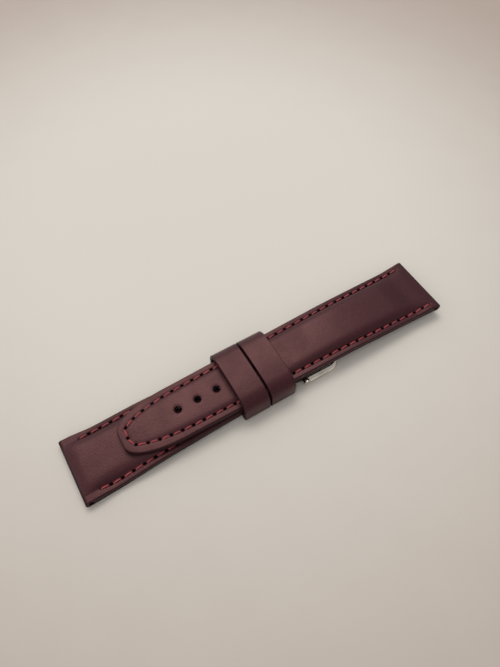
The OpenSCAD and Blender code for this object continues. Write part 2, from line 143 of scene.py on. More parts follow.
def strap_sheet(name, stations, set_in, shares, half, top, under):
    """A grid over the strap's outline, extruded to its thickness and moved to its two surfaces.
    set_in are rows in from the edge, and shares are rows between those and the middle."""
    stations = np.asarray(stations)
    places = []
    for h in half(stations):
        edge_rows = np.array(set_in) * min(1.0, h / (1.4 * set_in[-1]))
        inner = (h - edge_rows[-1]) * np.array(shares)
        side = np.concatenate([inner, (h - edge_rows)[::-1]])
        places.append(np.concatenate([-side[::-1], [0.0], side]))
    places = np.array(places)
    along, across = len(stations) - 1, places.shape[1] - 1
    bpy.ops.object.select_all(action="DESELECT")
    bpy.ops.mesh.primitive_grid_add(x_subdivisions=along, y_subdivisions=across, size=2)
    sheet = bpy.context.object
    sheet.name = name
    draw_out(sheet, [(0, 0, 1)])
    co = points_of(sheet)
    i = np.rint((co[:, 0] + 1) / 2 * along).astype(int)
    j = np.rint((co[:, 1] + 1) / 2 * across).astype(int)
    x, y = stations[i], places[i, j]
    z = np.where(co[:, 2] > 0.5, top(x, y), under(x, y))
    set_points(sheet, np.column_stack([x, y, z]) * MM)
    face_out(sheet)
    return sheet


def row_distance(x, y, route):
    """For points over a flat route: how far along it the nearest place is, and how far off."""
    a, b = route[:-1], route[1:]
    leg = b - a
    reach = np.linalg.norm(leg, axis=1)
    start = np.concatenate([[0], np.cumsum(reach)[:-1]])
    near_along, near_off = np.zeros(len(x)), np.full(len(x), 1e9)
    for k in range(len(leg)):
        t = ((x - a[k, 0]) * leg[k, 0] + (y - a[k, 1]) * leg[k, 1]) / reach[k] ** 2
        t = np.clip(t, 0, 1)
        off = np.hypot(x - a[k, 0] - t * leg[k, 0], y - a[k, 1] - t * leg[k, 1])
        closer = off < near_off
        near_off = np.where(closer, off, near_off)
        near_along = np.where(closer, start[k] + t * reach[k], near_along)
    return near_along, near_off


def long_row(x):
    margin = mix(STITCH_MARGIN, TIP_MARGIN, np.clip((RIGHT - x) / (LONG_LEN - TIP_LEN), 0, 1))
    return mix(TIP_HALF, straight_half(x) - margin, tip_share(x - TIP_MARGIN, 1.8))


def short_route(side, start):
    """A row of stitches, which turns in a little where it ends at the lug end."""
    x = np.array([LEFT + start, LEFT + start + 4, FIXED_END - 1])
    turn_in = np.array([0.35, 0.0, 0.0])
    return np.column_stack([x, side * (short_half(x) - STITCH_MARGIN - turn_in)])


# The long row turns in a little at both lug ends, and the far side ends 0.6 mm sooner
bend_x = TIP + TIP_MARGIN + TIP_LEN * (1 - np.cos(np.radians(np.arange(0, 91, 10))))
near_x = np.concatenate([bend_x, [RIGHT - 12, RIGHT - 7, RIGHT - 3.6]])
near_side = np.column_stack([near_x, -long_row(near_x)])
near_side[-2:, 1] += [0.05, 0.15]
far_side = near_side[::-1] * [1, -1]
far_side[0, 0] -= 0.6
LONG_ROUTE = np.vstack([far_side, near_side])
SHORT_ROUTES = [short_route(-1, 5.7), short_route(1, 6.0)]
outline_x = np.append(TIP + TIP_LEN * (1 - np.cos(np.radians(np.arange(0, 91, 4.5)))),
                      np.linspace(TIP + TIP_LEN + 4, RIGHT, 24))
outline_side = np.column_stack([outline_x, -long_half(outline_x)])
LONG_OUTLINE = np.vstack([outline_side[::-1] * [1, -1], outline_side])
HOLES = [TIP + 19.2 + 6.8 * k for k in range(6)]
HOLE_R = 1.15
PITCH = 3.6
ROW_END = 1.3


def stitches_on(route):
    """The number of stitches on a route, and how far apart they lie to fill it evenly."""
    free = np.linalg.norm(np.diff(route, axis=0), axis=1).sum() - 2 * ROW_END
    count = round(free / PITCH) + 1
    return count, free / (count - 1)


def long_rim(x, y):
    """Distance from the long piece's cut edge."""
    return row_distance(x, y, LONG_OUTLINE)[1]


def short_rim(x, y):
    return np.clip(short_half(x) - np.abs(y), 0, None)


def rim_with_end_shade(x, y, rim):
    """The same, with the outer part of each lug end counted as edge, so that it is painted dark as
    shade where the rounded end turns away from the light.
    """
    return np.minimum(rim(x, y), np.clip(RIGHT - np.abs(x) - 0.6, 0, None))


def rows_near(x, y, routes):
    """Stitches along the nearest row, counted from hole to hole, and the distance off it."""
    found = [row_distance(x, y, route) for route in routes]
    off = np.array([f[1] for f in found])
    counts = [(f[0] - ROW_END) / stitches_on(route)[1] + 0.5 for f, route in zip(found, routes)]
    return np.choose(off.argmin(axis=0), counts), off.min(axis=0)


def mark(piece, rim, routes, with_holes=False):
    """Writes the attributes that the leather's edge paint, the painted shade at the lug ends and the
    stitch holes follow.
    """
    x, y, _ = (points_of(piece) / MM).T
    edge = rim_with_end_shade(x, y, rim)
    if with_holes:
        for hole_x in HOLES:
            edge = np.minimum(edge, np.abs(np.hypot(x - hole_x, y) - HOLE_R))
    count, off = rows_near(x, y, routes)
    piece.data.attributes.new("edge", "FLOAT", "POINT").data.foreach_set(
        "value", edge.astype(np.float32))
    piece.data.attributes.new("row", "FLOAT_VECTOR", "POINT").data.foreach_set(
        "vector", np.column_stack([count, off, 0 * off]).astype(np.float32).ravel())


def punch(piece, cutters, wall=None):
    """Cuts tool shapes out of a piece, whose walls may take a material, and removes the tools."""
    for tool in cutters:
        cutter = piece.modifiers.new("cut", "BOOLEAN")
        cutter.operation = "DIFFERENCE"
        cutter.solver = "EXACT"
        if wall:
            tool.data.materials.append(wall)
            cutter.material_mode = "TRANSFER"
        cutter.object = tool
        only(piece)
        bpy.ops.object.modifier_apply(modifier=cutter.name)
        bpy.data.objects.remove(tool)


def hole_punches(z0, z1):
    tools = []
    for hole_x in HOLES:
        bpy.ops.object.select_all(action="DESELECT")
        bpy.ops.mesh.primitive_cylinder_add(
            vertices=56, radius=HOLE_R * MM, depth=(z1 - z0) * MM,
            location=(hole_x * MM, 0, (z0 + z1) / 2 * MM))
        tools.append(bpy.context.object)
    return tools


def smooth(piece, degrees=35):
    only(piece)
    bpy.ops.object.shade_smooth_by_angle(angle=math.radians(degrees))


def new_group(name, inputs, outputs):
    group = bpy.data.node_groups.new(name, "ShaderNodeTree")
    for label, kind, value in inputs:
        socket = group.interface.new_socket(label, in_out="INPUT", socket_type=kind)
        if value is not None:
            socket.default_value = value
    for label, kind in outputs:
        group.interface.new_socket(label, in_out="OUTPUT", socket_type=kind)
    entry = group.nodes.new("NodeGroupInput")
    leave = group.nodes.new("NodeGroupOutput")
    return group, entry, leave


def math_node(tree, operation, a, b=None, c=None):
    node = tree.nodes.new("ShaderNodeMath")
    node.operation = operation
    for k, value in enumerate((a, b, c)):
        if value is None:
            continue
        if isinstance(value, (int, float)):
            node.inputs[k].default_value = value
        else:
            tree.links.new(value, node.inputs[k])
    return node.outputs[0]


def range_node(tree, value, low, high, to_low=0.0, to_high=1.0):
    node = tree.nodes.new("ShaderNodeMapRange")
    node.interpolation_type = "SMOOTHSTEP"
    tree.links.new(value, node.inputs["Value"])
    for label, number in (("From Min", low), ("From Max", high),
                          ("To Min", to_low), ("To Max", to_high)):
        node.inputs[label].default_value = number
    return node.outputs["Result"]


def noise_node(tree, vector, scale, detail=2.0, roughness=0.5):
    node = tree.nodes.new("ShaderNodeTexNoise")
    node.inputs["Scale"].default_value = scale
    node.inputs["Detail"].default_value = detail
    node.inputs["Roughness"].default_value = roughness
    tree.links.new(vector, node.inputs["Vector"])
    return node.outputs["Fac"]


def mix_colors(tree, factor, a, b):
    node = tree.nodes.new("ShaderNodeMix")
    node.data_type = "RGBA"
    for value, socket in ((factor, node.inputs[0]), (a, node.inputs[6]), (b, node.inputs[7])):
        if isinstance(value, bpy.types.NodeSocket):
            tree.links.new(value, socket)
        else:
            socket.default_value = value
    return node.outputs[2]


def paint(red, green, blue):
    """A colour as seen on a screen, 0 to 255, for a colour socket."""
    def linear(v):
        v /= 255
        return v / 12.92 if v <= 0.04045 else ((v + 0.055) / 1.055) ** 2.4
    return (linear(red), linear(green), linear(blue), 1.0)


def new_material(name):
    """A material with its tree, its shader and the object's own coordinates."""
    material = bpy.data.materials.new(name)
    material.use_nodes = True
    tree = material.node_tree
    place = tree.nodes.new("ShaderNodeTexCoord").outputs["Object"]
    return material, tree, tree.nodes["Principled BSDF"], place


def bump(tree, shader, height, strength, distance):
    relief = tree.nodes.new("ShaderNodeBump")
    relief.inputs["Strength"].default_value = strength
    relief.inputs["Distance"].default_value = distance
    tree.links.new(height, relief.inputs["Height"])
    tree.links.new(relief.outputs["Normal"], shader.inputs["Normal"])


# Fine grain of finished calf leather: small cells with soft valleys, and slow cloudy changes
grain, g_in, g_out = new_group(
    "leather grain",
    [("Vector", "NodeSocketVector", None), ("Cells per metre", "NodeSocketFloat", 2200.0)],
    [("Height", "NodeSocketFloat"), ("Cloud", "NodeSocketFloat"), ("Fleck", "NodeSocketFloat")])
cells = grain.nodes.new("ShaderNodeTexVoronoi")
cells.feature = "SMOOTH_F1"
cells.inputs["Smoothness"].default_value = 0.6
warp = grain.nodes.new("ShaderNodeTexNoise")
warp.inputs["Scale"].default_value = 900.0
warp.inputs["Detail"].default_value = 2.0
shift = grain.nodes.new("ShaderNodeVectorMath")
shift.operation = "MULTIPLY_ADD"
shift.inputs[1].default_value = (0.0006, 0.0006, 0.0006)
grain.links.new(g_in.outputs["Vector"], warp.inputs["Vector"])
grain.links.new(warp.outputs["Color"], shift.inputs[0])
grain.links.new(g_in.outputs["Vector"], shift.inputs[2])
grain.links.new(shift.outputs[0], cells.inputs["Vector"])
grain.links.new(g_in.outputs["Cells per metre"], cells.inputs["Scale"])
fine = noise_node(grain, g_in.outputs["Vector"], 5200.0, 3.0, 0.6)
wrinkle = noise_node(grain, shift.outputs[0], 420.0, 3.0, 0.55)
height = math_node(grain, "MULTIPLY_ADD", cells.outputs["Distance"], 0.55,
                   math_node(grain, "MULTIPLY_ADD", fine, 0.3,
                             math_node(grain, "MULTIPLY", wrinkle, 0.5)))
grain.links.new(height, g_out.inputs["Height"])
grain.links.new(noise_node(grain, g_in.outputs["Vector"], 90.0, 3.0, 0.55), g_out.inputs["Cloud"])
grain.links.new(noise_node(grain, g_in.outputs["Vector"], 1500.0, 2.0, 0.6), g_out.inputs["Fleck"])

# Edge paint: a dark band on a cut edge that just laps over the rim; the same band lays painted shade
# on the outer part of each lug end
edge_paint_and_end_shade, e_in, e_out = new_group(
    "edge paint and end shade",
    [("Distance", "NodeSocketFloat", 1.0), ("Vector", "NodeSocketVector", None),
     ("Lap", "NodeSocketFloat", 0.16)],
    [("Mask", "NodeSocketFloat")])
uneven = noise_node(edge_paint_and_end_shade, e_in.outputs["Vector"], 1300.0, 2.0, 0.5)
lap = math_node(edge_paint_and_end_shade, "MULTIPLY", e_in.outputs["Lap"],
                math_node(edge_paint_and_end_shade, "ADD", uneven, 0.5))
beyond = math_node(edge_paint_and_end_shade, "SUBTRACT", e_in.outputs["Distance"], lap)
edge_paint_and_end_shade.links.new(range_node(edge_paint_and_end_shade, beyond, 0.05, -0.05), e_out.inputs["Mask"])

# Needle holes: a dimple painted near-black as shade where the thread goes down between two stitches,
# and a painted shade along the row beside the stitches
needle, n_in, n_out = new_group(
    "needle holes",
    [("Row", "NodeSocketVector", None), ("Length", "NodeSocketFloat", 0.62),
     ("Width", "NodeSocketFloat", 0.44)],
    [("Mask", "NodeSocketFloat"), ("Row shade", "NodeSocketFloat")])
split = needle.nodes.new("ShaderNodeSeparateXYZ")
needle.links.new(n_in.outputs["Row"], split.inputs[0])
wrapped = math_node(needle, "SUBTRACT", math_node(
    needle, "FRACT", math_node(needle, "ADD", split.outputs["X"], 0.5)), 0.5)
lengthwise = math_node(needle, "DIVIDE", math_node(needle, "MULTIPLY", wrapped, PITCH),
                       n_in.outputs["Length"])
crosswise = math_node(needle, "DIVIDE", split.outputs["Y"], n_in.outputs["Width"])
away = math_node(needle, "SQRT", math_node(
    needle, "ADD", math_node(needle, "MULTIPLY", lengthwise, lengthwise),
    math_node(needle, "MULTIPLY", crosswise, crosswise)))
needle.links.new(range_node(needle, away, 1.15, 0.75), n_out.inputs["Mask"])
needle.links.new(range_node(needle, split.outputs["Y"], 0.75, 0.1), n_out.inputs["Row shade"])


def leather(name, light, dark, edge_color, roughness, strength, cells_per_metre, gloss,
            marked=True):
    """Finished leather. Marked pieces carry the edge and row attributes."""
    material, tree, shader, place = new_material(name)
    surface = tree.nodes.new("ShaderNodeGroup")
    surface.node_tree = grain
    surface.inputs["Cells per metre"].default_value = cells_per_metre
    tree.links.new(place, surface.inputs["Vector"])
    cloud = range_node(tree, surface.outputs["Cloud"], 0.25, 0.75)
    color = mix_colors(tree, cloud, dark, light)
    fleck = range_node(tree, surface.outputs["Fleck"], 0.3, 0.72, 0.8, 1.2)
    spotted = tree.nodes.new("ShaderNodeVectorMath")
    spotted.operation = "SCALE"
    tree.links.new(color, spotted.inputs[0])
    tree.links.new(fleck, spotted.inputs["Scale"])
    color = spotted.outputs[0]
    rough = range_node(tree, surface.outputs["Cloud"], 0.3, 0.7, roughness + 0.05, roughness - 0.05)
    raised = surface.outputs["Height"]
    if marked:
        edge = tree.nodes.new("ShaderNodeAttribute")
        edge.attribute_name = "edge"
        row = tree.nodes.new("ShaderNodeAttribute")
        row.attribute_name = "row"
        painted = tree.nodes.new("ShaderNodeGroup")
        painted.node_tree = edge_paint_and_end_shade
        tree.links.new(edge.outputs["Fac"], painted.inputs["Distance"])
        tree.links.new(place, painted.inputs["Vector"])
        holes = tree.nodes.new("ShaderNodeGroup")
        holes.node_tree = needle
        tree.links.new(row.outputs["Vector"], holes.inputs["Row"])
        # Painted shade: the leather along the stitch row is darkened towards the edge colour, and
        # each needle hole is painted near-black with less gloss
        row_shade = math_node(tree, "MULTIPLY", holes.outputs["Row shade"], 0.6)
        color = mix_colors(tree, row_shade, color, edge_color)
        color = mix_colors(tree, holes.outputs["Mask"], color, paint(10, 5, 6))
        color = mix_colors(tree, painted.outputs["Mask"], color, edge_color)
        raised = math_node(tree, "MULTIPLY_ADD", holes.outputs["Mask"], -3.0, raised)
        smoothed = math_node(tree, "MULTIPLY_ADD", painted.outputs["Mask"], -0.6, 1.0)
        raised = math_node(tree, "MULTIPLY", raised, smoothed)
        rough = math_node(tree, "MULTIPLY_ADD", holes.outputs["Mask"], 0.3, rough)
        dull = math_node(tree, "MULTIPLY_ADD", painted.outputs["Mask"], 0.5, holes.outputs["Mask"])
        tree.links.new(range_node(tree, dull, 0.0, 0.8, gloss, 0.03),
                       shader.inputs["Specular IOR Level"])
    tree.links.new(color, shader.inputs["Base Color"])
    tree.links.new(rough, shader.inputs["Roughness"])
    bump(tree, shader, raised, strength, 0.0001)
    shader.inputs["Specular IOR Level"].default_value = gloss
    shader.inputs["Specular Tint"].default_value = (1.0, 0.5, 0.46, 1.0)
    return material


lining_leather = leather("lining leather", paint(88, 58, 57), paint(76, 48, 48),
                         paint(46, 27, 29), 0.62, 0.45, 1500.0, 0.3)
# The walls of the punched holes, through leather, tape and felt alike, are near-black: partly the
# leather's dark edge paint, mostly painted shade inside the deep, narrow holes
shaded_hole_wall = leather("hole wall in painted shade", paint(20, 12, 13), paint(14, 8, 9), paint(14, 8, 9),
                    0.9, 0.3, 1500.0, 0.05, marked=False)

LINING_SHARES = [0.25, 0.5, 0.75]
LINING_SET_IN = [0.0, 0.1, 0.3, 0.8, 1.3, 1.55, 1.8, 2.05, 2.3, 2.8]
SEWN_DEPTH, SEWN_WIDTH = 0.16, 0.42


def sewn_under(lie, routes):
    """The lining's underside, pressed in along the stitches."""
    def under(x, y):
        off = rows_near(x, y, routes)[1]
        return lie(x) + SEWN_DEPTH * np.exp(-(off / SEWN_WIDTH) ** 2)
    return under


short_lining = strap_sheet(
    "short_lining_leather",
    np.append(LEFT + LUG_FOLD + 0.1, np.arange(LEFT + 4.0, FIXED_END + 0.01, 0.6)),
    LINING_SET_IN, LINING_SHARES, short_half,
    lambda x, y: short_lie(x) + LINING_T, sewn_under(short_lie, SHORT_ROUTES))
tip_stations = TIP + TIP_LEN * (1 - np.cos(np.radians(np.arange(0, 91, 3))))
long_lining = strap_sheet(
    "long_lining_leather",
    np.concatenate([tip_stations, np.arange(TIP + TIP_LEN + 0.6, RIGHT - LUG_FOLD - 0.4, 0.6),
                    [RIGHT - LUG_FOLD - 0.1]]),
    LINING_SET_IN, LINING_SHARES, long_half,
    lambda x, y: long_lie(x) + LINING_T, sewn_under(long_lie, [LONG_ROUTE]))
for lining in (short_lining, long_lining):
    lining.data.materials.append(lining_leather)
punch(long_lining, hole_punches(TAIL_Z - 1, TAIL_Z + 2), shaded_hole_wall)
for lining, rim, routes, body, node in (
        (short_lining, short_rim, SHORT_ROUTES, "short_strap", "short_lining"),
        (long_lining, long_rim, [LONG_ROUTE], "long_strap", "long_lining")):
    mark(lining, rim, routes, with_holes=lining is long_lining)
    smooth(lining)
    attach(lining, body)
    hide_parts(node)

# Tape
#
# A woven tape that does not stretch, glued flat between the lining and the padding of each piece, so
# that the leather keeps its length. It stops short of the tip and of the folded lug ends.

PAD_X = TIP + TIP_LEN * (1 - math.cos(math.radians(54)))
GLUE, TAPE_T = 0.05, 0.2
LAYER_TOP = LINING_T + GLUE


def pad_half(half, x):
    """Half of the padding's width, which the tape under it shares."""
    width = half(x)
    crown = np.maximum(width - 2.6, 0.68 * width)
    return crown - np.minimum(0.25, 0.08 * width) - GLUE


woven, tree, shader, place = new_material("woven tape")
threads = []
for turn in (0.0, math.pi / 2):
    turned = tree.nodes.new("ShaderNodeMapping")
    turned.inputs["Rotation"].default_value = (0, 0, turn)
    weave = tree.nodes.new("ShaderNodeTexWave")
    weave.inputs["Scale"].default_value = 420.0
    weave.inputs["Distortion"].default_value = 0.4
    tree.links.new(place, turned.inputs["Vector"])
    tree.links.new(turned.outputs[0], weave.inputs["Vector"])
    threads.append(weave.outputs["Fac"])
crossed = math_node(tree, "MAXIMUM", threads[0], threads[1])
tree.links.new(mix_colors(tree, crossed, paint(196, 192, 182), paint(236, 233, 225)),
               shader.inputs["Base Color"])
bump(tree, shader, crossed, 0.6, 0.0001)
shader.inputs["Roughness"].default_value = 0.9

for name, x0, x1, half, lie, body, node in (
        ("short_tape", LEFT + LUG_FOLD + 0.35, FIXED_END - 0.3, short_half, short_lie,
         "short_strap", "short_stiffener"),
        ("long_tape", PAD_X + 0.35, RIGHT - LUG_FOLD - 0.3, long_half, long_lie,
         "long_strap", "long_stiffener")):
    stations = np.linspace(x0, x1, 60)
    tape = strap_sheet(name, stations, [0.0, 0.2], [0.5],
                       lambda x, half=half: pad_half(half, x),
                       lambda x, y, lie=lie: lie(x) + LAYER_TOP + TAPE_T,
                       lambda x, y, lie=lie: lie(x) + LAYER_TOP)
    tape.data.materials.append(woven)
    if node == "long_stiffener":
        punch(tape, hole_punches(TAIL_Z - 1, TAIL_Z + 2), shaded_hole_wall)
    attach(tape, body)
    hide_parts(node)
    width, length = 2 * pad_half(half, stations) * MM, (x1 - x0) * MM

# Padding
#
# A strip of firm felt on the tape, domed along its middle and thinned towards its edges, that gives
# each piece its crown. It is thick at the lug ends and thin where the strap passes the keepers.

SHORT_TOP, UPPER_T = 4.1, 0.85
EDGE_T, LUG_T, LUG_ROUND = 2.2, 3.0, 1.1
THIN_CROWN, LONG_CROWN = 0.5, 1.7
CROWN_START, CROWN_CLIMB, CROWN_FALL = -8.0, 33.0, 17.0
SHORT_RAMP, TIP_RAMP = 5.0, 12.0


def edge_t(s):
    """Thickness of the sewn edge, s from the lug end."""
    return mix(LUG_T, EDGE_T, ease((s - 3) / 8))


def nose(s):
    """How far a lug end's rounded face draws in, s from the end."""
    inside = np.clip(LUG_ROUND - s, 0, LUG_ROUND)
    return LUG_ROUND - np.sqrt(LUG_ROUND ** 2 - inside ** 2)


def dome(t):
    """The crown's section: flat in the middle, steep at its foot beside the stitches."""
    return 1 - np.minimum(1, np.abs(t)) ** 9


def crown_half(width):
    return np.maximum(width - 2.4, 0.68 * width)


def short_edge_top(x):
    rolled = mix(SHORT_RISE + EDGE_T, PIVOT_Z + ROLL_R,
                 ease((x - FIXED_END) / (PIVOT_X - FIXED_END)))
    return np.where(x > FIXED_END, rolled, short_lie(x) + edge_t(x - LEFT) - nose(x - LEFT))


def short_surface(x, y):
    s = x - LEFT
    filled = 1 - (1 - np.clip((s - 0.4) / SHORT_RAMP, 0, 1)) ** 3
    rise = (SHORT_TOP - short_lie(x) - edge_t(s)) * filled
    rise = np.where(x > FIXED_END, THIN_CROWN * (1 - ease((x - FIXED_END) / 3)), rise)
    return short_edge_top(x) + rise * dome(y / crown_half(short_half(x)))


def long_edge_top(x):
    return long_lie(x) + edge_t(RIGHT - x) - nose(RIGHT - x)


def long_surface(x, y):
    s = RIGHT - x
    thin = THIN_CROWN * ease((x - TIP - TIP_MARGIN) / TIP_RAMP)
    swell = ease((x - CROWN_START) / CROWN_CLIMB)
    rise = (thin + (LONG_CROWN - THIN_CROWN) * swell) * ease((s - 0.5) / CROWN_FALL)
    return long_edge_top(x) + rise * dome(y / crown_half(long_half(x)))


felt, tree, shader, place = new_material("felt")
fibres = noise_node(tree, place, 3000.0, 5.0, 0.7)
tree.links.new(mix_colors(tree, range_node(tree, fibres, 0.35, 0.65), paint(188, 182, 172),
                          paint(222, 218, 208)), shader.inputs["Base Color"])
bump(tree, shader, fibres, 0.8, 0.0002)
shader.inputs["Roughness"].default_value = 0.95

for name, x0, x1, half, lie, surface, body, node in (
        ("short_pad", LEFT + LUG_FOLD + 0.35, FIXED_END - 0.3, short_half, short_lie,
         short_surface, "short_strap", "short_padding"),
        ("long_pad", PAD_X + 0.35, RIGHT - LUG_FOLD - 0.3, long_half, long_lie,
         long_surface, "long_strap", "long_padding")):
    pad = strap_sheet(name, np.linspace(x0, x1, 110), [0.0, 0.15, 0.4, 0.8], [0.2, 0.4, 0.6, 0.8],
                      lambda x, half=half: pad_half(half, x),
                      lambda x, y, surface=surface: surface(x, y) - UPPER_T - GLUE,
                      lambda x, y, lie=lie: lie(x) + LAYER_TOP + TAPE_T + GLUE)
    pad.data.materials.append(felt)
    if node == "long_padding":
        punch(pad, hole_punches(TAIL_Z - 1, TAIL_Z + 5), shaded_hole_wall)
    smooth(pad, 50)
    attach(pad, body)
    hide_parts(node)

# Uppers
#
# The smooth burgundy leather that shows: skived calf drawn over the padding, folded under round the
# tunnel at each lug end, and on the short piece rolled round the buckle's spring bar. The tail's
# holes are punched through all layers. All cut edges are rubbed down and painted dark.

upper_leather = leather("upper leather", paint(54, 25, 32), paint(47, 21, 28),
                        paint(43, 21, 26), 0.41, 0.55, 2000.0, 0.5)

UPPER_SET_IN = [0.0, 0.04, 0.1, 0.18, 0.28, 0.4, 0.65, 1.0, 1.3, 1.5, 1.65, 1.8, 1.95, 2.1,
                2.3, 2.6, 3.0]
UPPER_SHARES = [0.07, 0.14, 0.21, 0.29, 0.38, 0.5, 0.63, 0.77, 0.9]
EDGE_ROUND = 0.4
TUNNEL_R, TUNNEL_IN, TUNNEL_WIDTH = 0.9, 1.75, 24
SHORT_TUNNEL_Z, LONG_TUNNEL_Z = 1.5, 3.6046
BAR_BORE_R = 0.85


def rounded(distance):
    """How far the rubbed edge lies under the surface."""
    inside = np.clip(EDGE_ROUND - distance, 0, EDGE_ROUND)
    return EDGE_ROUND - np.sqrt(EDGE_ROUND ** 2 - inside ** 2)


def pressed(x, y, routes):
    """The channel that the tight thread pulls into the leather, deeper at the needle holes."""
    count, off = rows_near(x, y, routes)
    from_hole = (count - np.rint(count)) * PITCH
    return (0.15 * np.exp(-(off / 0.5) ** 2)
            + 0.3 * np.exp(-(off / 0.34) ** 2 - (from_hole / 0.42) ** 2))


def short_top(x, y):
    sewn = np.where(x < FIXED_END, 1.0, 0.0)
    return (short_surface(x, y) - rounded(short_rim(x, y))
            - sewn * pressed(x, y, SHORT_ROUTES))


def roll_drop(x):
    """How far the rolled end falls away past the spring bar's middle."""
    return ROLL_R - np.sqrt(np.maximum(0, ROLL_R ** 2 - np.maximum(0, x - PIVOT_X) ** 2))


def hollow_under(x, y, half, lie, surface):
    """Over the lining at the edges, and over the padding between them."""
    inner = pad_half(half, x) + GLUE
    return np.where(np.abs(y) < inner, surface(x, y) - UPPER_T, lie(x) + LAYER_TOP)


def short_under(x, y):
    folded = (x < LEFT + LUG_FOLD + 0.02) | (x > FIXED_END + 0.02)
    outside = short_lie(x) + nose(x - LEFT) + roll_drop(x)
    return np.where(folded, outside, hollow_under(x, y, short_half, short_lie, short_surface))


def long_top(x, y):
    dimple = 0 * x
    for hole_x in HOLES:
        rim = np.clip(np.hypot(x - hole_x, y) - HOLE_R, 0, None)
        dimple = dimple + 0.16 * np.exp(-(rim / 0.3) ** 2)
    return (long_surface(x, y) - rounded(long_rim(x, y)) - dimple
            - pressed(x, y, [LONG_ROUTE]))


def long_under(x, y):
    outside = long_lie(x) + nose(RIGHT - x)
    hollow = hollow_under(x, y, long_half, long_lie, long_surface)
    return np.where(x > RIGHT - LUG_FOLD - 0.02, outside,
                    np.where(x < PAD_X + 0.02, long_lie(x) + LAYER_TOP, hollow))


def cross_punch(x, z, radius, width, y=0.0):
    """A round tool that lies across the strap."""
    bpy.ops.object.select_all(action="DESELECT")
    bpy.ops.mesh.primitive_cylinder_add(
        vertices=48, radius=radius * MM, depth=width * MM, location=(x * MM, y * MM, z * MM),
        rotation=(math.pi / 2, 0, 0))
    return bpy.context.object


def block(x0, x1, y0, y1, z0, z1):
    bpy.ops.object.select_all(action="DESELECT")
    bpy.ops.mesh.primitive_cube_add(
        size=1, location=((x0 + x1) / 2 * MM, (y0 + y1) / 2 * MM, (z0 + z1) / 2 * MM),
        scale=((x1 - x0) * MM, (y1 - y0) * MM, (z1 - z0) * MM))
    return bpy.context.object


# Past 80 degrees the rolled end is thinner than its edge's rounding, and would cross itself
ROLL_TURN = 78
lug_stations = LUG_ROUND * (1 - np.cos(np.radians(np.arange(0, 91, 10))))
short_stations = np.concatenate([
    LEFT + lug_stations, np.arange(LEFT + 1.4, LEFT + LUG_FOLD - 0.1, 0.35),
    [LEFT + LUG_FOLD, LEFT + LUG_FOLD + 0.05],
    np.arange(LEFT + LUG_FOLD + 0.4, FIXED_END - 0.1, 0.4), [FIXED_END, FIXED_END + 0.05],
    np.linspace(FIXED_END + 0.4, PIVOT_X, 12),
    PIVOT_X + ROLL_R * np.sin(np.radians(np.arange(6, ROLL_TURN + 1, 6)))])
short_upper = strap_sheet("short_upper_leather", short_stations, UPPER_SET_IN, UPPER_SHARES,
                          short_half, lambda x, y: short_top(x, y) - roll_drop(x), short_under)
short_upper.data.materials.append(upper_leather)
tongue_slot = block(PIVOT_X - 2.0, PIVOT_X + 2.2, -1.3, 1.3, -0.5, 5.1)
punch(short_upper, [cross_punch(LEFT + TUNNEL_IN, SHORT_TUNNEL_Z, TUNNEL_R, TUNNEL_WIDTH),
                    cross_punch(PIVOT_X, PIVOT_Z, BAR_BORE_R, 20), tongue_slot])

long_stations = np.concatenate([
    tip_stations[:1], TIP + np.array([0.03, 0.09, 0.17]), tip_stations[2:19],
    [PAD_X + 0.05], np.arange(PAD_X + 0.35, RIGHT - LUG_FOLD - 0.1, 0.36),
    [RIGHT - LUG_FOLD - 0.05, RIGHT - LUG_FOLD],
    np.arange(RIGHT - LUG_FOLD + 0.3, RIGHT - 1.3, 0.35), (RIGHT - lug_stations)[::-1]])
long_upper = strap_sheet("long_upper_leather", long_stations, UPPER_SET_IN, UPPER_SHARES,
                         long_half, long_top, long_under)
long_upper.data.materials.append(upper_leather)
punch(long_upper, [cross_punch(RIGHT - TUNNEL_IN, LONG_TUNNEL_Z, TUNNEL_R, TUNNEL_WIDTH)])
punch(long_upper, hole_punches(TAIL_Z - 1, TAIL_Z + 5), shaded_hole_wall)

for upper, rim, routes, body, node in (
        (short_upper, short_rim, SHORT_ROUTES, "short_strap", "short_upper"),
        (long_upper, long_rim, [LONG_ROUTE], "long_strap", "long_upper")):
    mark(upper, rim, routes, with_holes=upper is long_upper)
    smooth(upper, 40)
    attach(upper, body)
    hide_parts(node)

# Stitching
#
# Waxed red polyester thread, three strands twisted together, sewn through upper and lining. Each
# stitch dives into a needle hole at both ends, on the grain side and under the lining alike.

STITCH_LEN, THREAD_R, STITCH_RINGS = 2.45, 0.27, 14
STITCH_ARCH, STITCH_SUNK = 0.3, 0.24

bpy.ops.object.select_all(action="DESELECT")
bpy.ops.mesh.primitive_circle_add(vertices=12, radius=1, fill_type="NGON",
                                  rotation=(0, math.pi / 2, 0))
stitch = bpy.context.object
bpy.ops.object.transform_apply(location=False, rotation=True, scale=False)
draw_out(stitch, [(1, 0, 0)] * STITCH_RINGS)
face_out(stitch)
co = points_of(stitch)
t = co[:, 0] / STITCH_RINGS
angle = np.arctan2(co[:, 2], co[:, 1])
lobe = 1 + 0.13 * np.cos(3 * angle)
twist = 2 * math.pi * 1.35 * t
slim = 0.72 + 0.28 * np.clip(np.sin(np.pi * t), 0, 1) ** 0.5
radius = THREAD_R * lobe * slim
arch = STITCH_ARCH * (1 - np.abs(2 * t - 1) ** 2.8) - STITCH_SUNK
lean = 0.09 * (2 * t - 1)
set_points(stitch, np.column_stack([
    (t - 0.5) * STITCH_LEN,
    1.12 * radius * np.cos(angle + twist) + lean,
    0.88 * radius * np.sin(angle + twist) + arch]) * MM)

